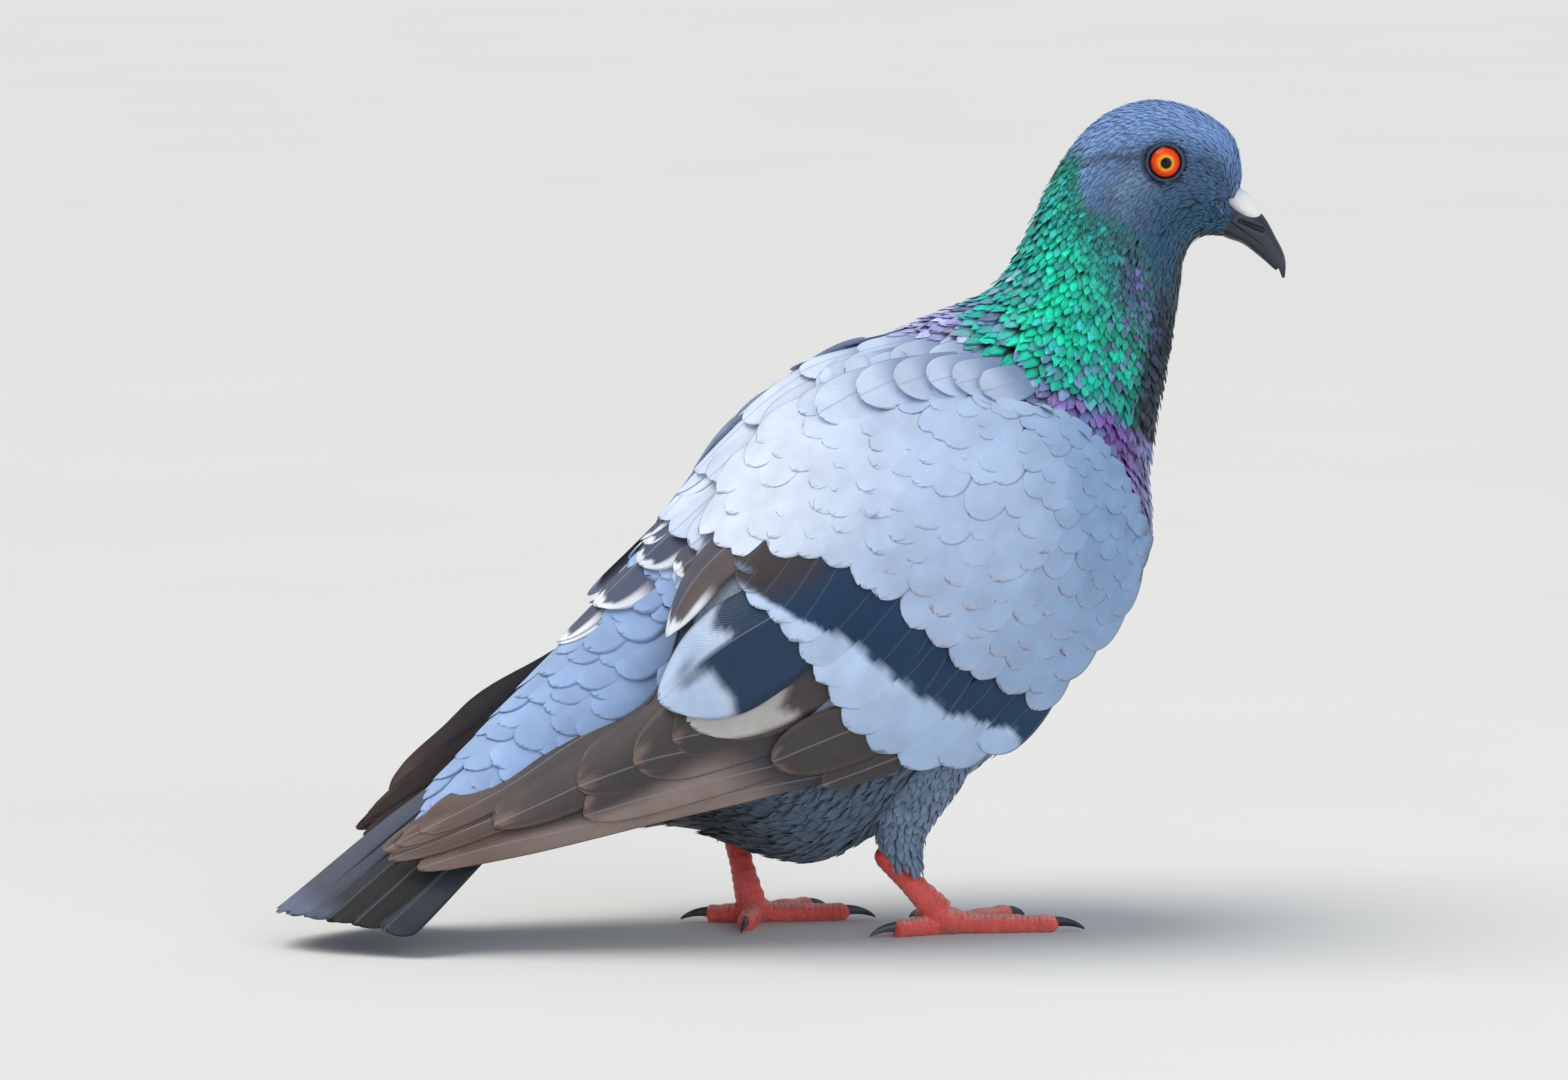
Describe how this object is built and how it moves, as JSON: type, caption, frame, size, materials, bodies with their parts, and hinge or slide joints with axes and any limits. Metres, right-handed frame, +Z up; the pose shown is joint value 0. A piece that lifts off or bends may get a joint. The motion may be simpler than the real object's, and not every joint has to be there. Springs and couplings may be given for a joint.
{
  "type": "pigeon",
  "caption": "Standing blue-grey pigeon with dark wing bars, green and purple neck, orange eyes, white cere and red feet.",
  "frame": {"origin": "on the floor under the middle of the bird's whole box", "axes": "+X forward along the trunk, +Y to the bird's left, +Z up; the head is turned 12 degrees to the bird's right"},
  "size_m": [0.261, 0.1046, 0.2118],
  "materials": {
    "slate_plumage": "soft blue-grey plumage",
    "green_plumage": "iridescent green and purple plumage",
    "pale_plumage": "pale blue-grey plumage with dark bars",
    "brown_plumage": "worn brown-grey flight feathers",
    "dark_plumage": "slate tail feathers",
    "bill_horn": "dull dark horn",
    "white_cere": "chalky white skin",
    "orange_eye": "wet orange iris and black pupil",
    "red_leg": "scaly coral-red skin",
    "dark_claw": "dark smooth horn"
  },
  "bodies": {
    "root": {"head": "slate_plumage", "neck": "green_plumage", "trunk": "pale_plumage", "wing_right": "pale_plumage", "wing_left": "pale_plumage", "primaries_right": "brown_plumage", "primaries_left": "brown_plumage", "tail": "dark_plumage", "thigh_right": "slate_plumage", "thigh_left": "slate_plumage", "tarsus_right": "red_leg", "tarsus_left": "red_leg", "foot_right": "red_leg", "foot_left": "red_leg", "bill_upper": "bill_horn", "bill_lower": "bill_horn", "cere": "white_cere", "eye_right": "orange_eye", "eye_left": "orange_eye", "claw_right_outer": "dark_claw", "claw_right_middle": "dark_claw", "claw_right_inner": "dark_claw", "claw_right_hind": "dark_claw", "claw_left_outer": "dark_claw", "claw_left_middle": "dark_claw", "claw_left_inner": "dark_claw", "claw_left_hind": "dark_claw"}
  },
  "joints": []
}
